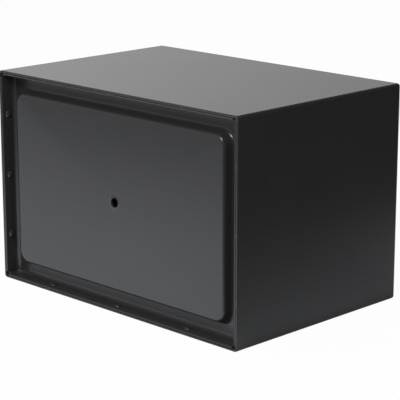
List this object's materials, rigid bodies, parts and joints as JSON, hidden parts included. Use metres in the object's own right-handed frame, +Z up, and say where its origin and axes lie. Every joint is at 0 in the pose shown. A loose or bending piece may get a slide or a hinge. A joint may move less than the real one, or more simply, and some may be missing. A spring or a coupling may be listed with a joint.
{
  "type": "under-desk drawer safe",
  "caption": "Steel drawer safe with a folded housing, a recessed and embossed rear panel, a drawer on telescopic slides, side bolts, a keypad lock and a knob.",
  "frame": {"origin": "middle of the housing's base", "axes": "+Z up; the drawer opens towards -Y, and the pressed rear panel faces +Y; X runs across the housing's width"},
  "size_m": [0.31, 0.2325, 0.202],
  "materials": {
    "powder_coat": "satin black powder coat with a fine texture",
    "zinc_steel": "bright zinc-plated sheet",
    "turned_steel": "turned steel",
    "chrome_plate": "polished chrome plate",
    "turned_brass": "turned brass",
    "copper_winding": "lacquered copper wire",
    "black_plastic": "fine moulded texture",
    "key_plastic": "satin moulded keys",
    "red_plastic": "clear red moulding",
    "black_rubber": "matte moulded rubber",
    "grey_felt": "needled felt",
    "green_board": "lacquered board",
    "cell_jacket": "plain jacket"
  },
  "bodies": {
    "housing": {"housing_shell": "powder_coat", "rear_panel": "powder_coat", "slide_bracket_left": "zinc_steel", "slide_bracket_right": "zinc_steel", "slide_outer_left": "zinc_steel", "slide_outer_right": "zinc_steel", "bumper_left": "black_rubber", "bumper_right": "black_rubber"},
    "slide_middle_left": {"slide_middle_left": "zinc_steel"},
    "slide_middle_right": {"slide_middle_right": "zinc_steel"},
    "knob": {"knob": "chrome_plate", "knob_spindle": "turned_steel", "cam_plate": "zinc_steel"},
    "bolts_left": {"bolt_bar_left": "zinc_steel", "bolt_left_upper": "turned_steel", "bolt_left_lower": "turned_steel"},
    "bolts_right": {"bolt_bar_right": "zinc_steel", "bolt_right_upper": "turned_steel", "bolt_right_lower": "turned_steel"},
    "solenoid_plunger": {"solenoid_plunger": "turned_steel"},
    "key_plug": {"key_plug": "turned_brass"},
    "release_rod": {"release_rod": "zinc_steel"},
    "keyhole_cover": {"keyhole_cover": "black_plastic"},
    "battery_cover": {"battery_cover": "black_plastic"},
    "reset_button": {"reset_button": "red_plastic"},
    "key_1": {"key_1": "key_plastic"},
    "key_2": {"key_2": "key_plastic"},
    "key_3": {"key_3": "key_plastic"},
    "key_4": {"key_4": "key_plastic"},
    "key_5": {"key_5": "key_plastic"},
    "key_6": {"key_6": "key_plastic"},
    "key_7": {"key_7": "key_plastic"},
    "key_8": {"key_8": "key_plastic"},
    "key_9": {"key_9": "key_plastic"},
    "key_star": {"key_star": "key_plastic"},
    "key_0": {"key_0": "key_plastic"},
    "key_hash": {"key_hash": "key_plastic"},
    "drawer": {"front_plate": "powder_coat", "lock_cover": "powder_coat", "slide_inner_left": "zinc_steel", "slide_inner_right": "zinc_steel", "drawer_tray": "zinc_steel", "bolt_guide_left": "zinc_steel", "bolt_guide_right": "zinc_steel", "solenoid_frame": "zinc_steel", "solenoid_spring": "turned_steel", "cover_screw_left": "turned_steel", "cover_screw_right": "turned_steel", "key_barrel": "chrome_plate", "solenoid_coil": "copper_winding", "keypad_housing": "black_plastic", "battery_holder": "black_plastic", "indicator_lens": "red_plastic", "keypad_membrane": "black_rubber", "drawer_mat": "grey_felt", "control_board": "green_board", "battery_1": "cell_jacket", "battery_2": "cell_jacket", "battery_3": "cell_jacket", "battery_4": "cell_jacket"}
  },
  "joints": [
    {"name": "drawer_slide", "type": "slide", "parent": "housing", "child": "drawer", "axis": [0, -1, 0], "range_m": [0, 0.15]},
    {"name": "middle_left_slide", "type": "slide", "parent": "housing", "child": "slide_middle_left", "axis": [0, -1, 0], "range_m": [0, 0.075]},
    {"name": "middle_right_slide", "type": "slide", "parent": "housing", "child": "slide_middle_right", "axis": [0, -1, 0], "range_m": [0, 0.075]},
    {"name": "knob_turn", "type": "hinge", "parent": "drawer", "child": "knob", "pos_m": [0, -0.1165, 0.101], "axis": [0, -1, 0], "range_deg": [0, 90]},
    {"name": "bolts_left_slide", "type": "slide", "parent": "drawer", "child": "bolts_left", "axis": [-1, 0, 0], "range_m": [0, 0.012]},
    {"name": "bolts_right_slide", "type": "slide", "parent": "drawer", "child": "bolts_right", "axis": [1, 0, 0], "range_m": [0, 0.012]},
    {"name": "plunger_slide", "type": "slide", "parent": "drawer", "child": "solenoid_plunger", "axis": [0, 0, 1], "range_m": [-0.005, 0], "stiffness_N_per_m": 40, "springref_m": -0.008, "deforming": ["solenoid_spring"]},
    {"name": "key_turn", "type": "hinge", "parent": "drawer", "child": "key_plug", "pos_m": [0.058, -0.1, 0.072], "axis": [0, -1, 0], "range_deg": [0, 90]},
    {"name": "release_rod_slide", "type": "slide", "parent": "drawer", "child": "release_rod", "axis": [0, 0, 1], "range_m": [0, 0.005]},
    {"name": "keyhole_cover_swing", "type": "hinge", "parent": "drawer", "child": "keyhole_cover", "pos_m": [0.058, -0.1096, 0.09], "axis": [0, -1, 0], "range_deg": [-95, 95]},
    {"name": "battery_cover_swing", "type": "hinge", "parent": "drawer", "child": "battery_cover", "pos_m": [-0.063, -0.0593, 0.1278], "axis": [1, 0, 0], "range_deg": [0, 100]},
    {"name": "reset_button_press", "type": "slide", "parent": "drawer", "child": "reset_button", "axis": [0, -1, 0], "range_m": [0, 0.0015], "stiffness_N_per_m": 300, "springref_m": -0.0005},
    {"name": "key_1_press", "type": "slide", "parent": "drawer", "child": "key_1", "axis": [0, 1, 0], "range_m": [0, 0.0012], "stiffness_N_per_m": 300, "springref_m": -0.0005},
    {"name": "key_2_press", "type": "slide", "parent": "drawer", "child": "key_2", "axis": [0, 1, 0], "range_m": [0, 0.0012], "stiffness_N_per_m": 300, "springref_m": -0.0005},
    {"name": "key_3_press", "type": "slide", "parent": "drawer", "child": "key_3", "axis": [0, 1, 0], "range_m": [0, 0.0012], "stiffness_N_per_m": 300, "springref_m": -0.0005},
    {"name": "key_4_press", "type": "slide", "parent": "drawer", "child": "key_4", "axis": [0, 1, 0], "range_m": [0, 0.0012], "stiffness_N_per_m": 300, "springref_m": -0.0005},
    {"name": "key_5_press", "type": "slide", "parent": "drawer", "child": "key_5", "axis": [0, 1, 0], "range_m": [0, 0.0012], "stiffness_N_per_m": 300, "springref_m": -0.0005},
    {"name": "key_6_press", "type": "slide", "parent": "drawer", "child": "key_6", "axis": [0, 1, 0], "range_m": [0, 0.0012], "stiffness_N_per_m": 300, "springref_m": -0.0005},
    {"name": "key_7_press", "type": "slide", "parent": "drawer", "child": "key_7", "axis": [0, 1, 0], "range_m": [0, 0.0012], "stiffness_N_per_m": 300, "springref_m": -0.0005},
    {"name": "key_8_press", "type": "slide", "parent": "drawer", "child": "key_8", "axis": [0, 1, 0], "range_m": [0, 0.0012], "stiffness_N_per_m": 300, "springref_m": -0.0005},
    {"name": "key_9_press", "type": "slide", "parent": "drawer", "child": "key_9", "axis": [0, 1, 0], "range_m": [0, 0.0012], "stiffness_N_per_m": 300, "springref_m": -0.0005},
    {"name": "key_star_press", "type": "slide", "parent": "drawer", "child": "key_star", "axis": [0, 1, 0], "range_m": [0, 0.0012], "stiffness_N_per_m": 300, "springref_m": -0.0005},
    {"name": "key_0_press", "type": "slide", "parent": "drawer", "child": "key_0", "axis": [0, 1, 0], "range_m": [0, 0.0012], "stiffness_N_per_m": 300, "springref_m": -0.0005},
    {"name": "key_hash_press", "type": "slide", "parent": "drawer", "child": "key_hash", "axis": [0, 1, 0], "range_m": [0, 0.0012], "stiffness_N_per_m": 300, "springref_m": -0.0005}
  ],
  "couplings": [
    {"joint": "middle_left_slide", "follows": "drawer_slide", "ratio": 0.5},
    {"joint": "middle_right_slide", "follows": "drawer_slide", "ratio": 0.5},
    {"joint": "bolts_left_slide", "follows": "knob_turn", "m_per_rad": 0.0076394},
    {"joint": "bolts_right_slide", "follows": "knob_turn", "m_per_rad": 0.0076394},
    {"joint": "key_turn", "follows": "release_rod_slide", "rad_per_m": 314.16}
  ]
}
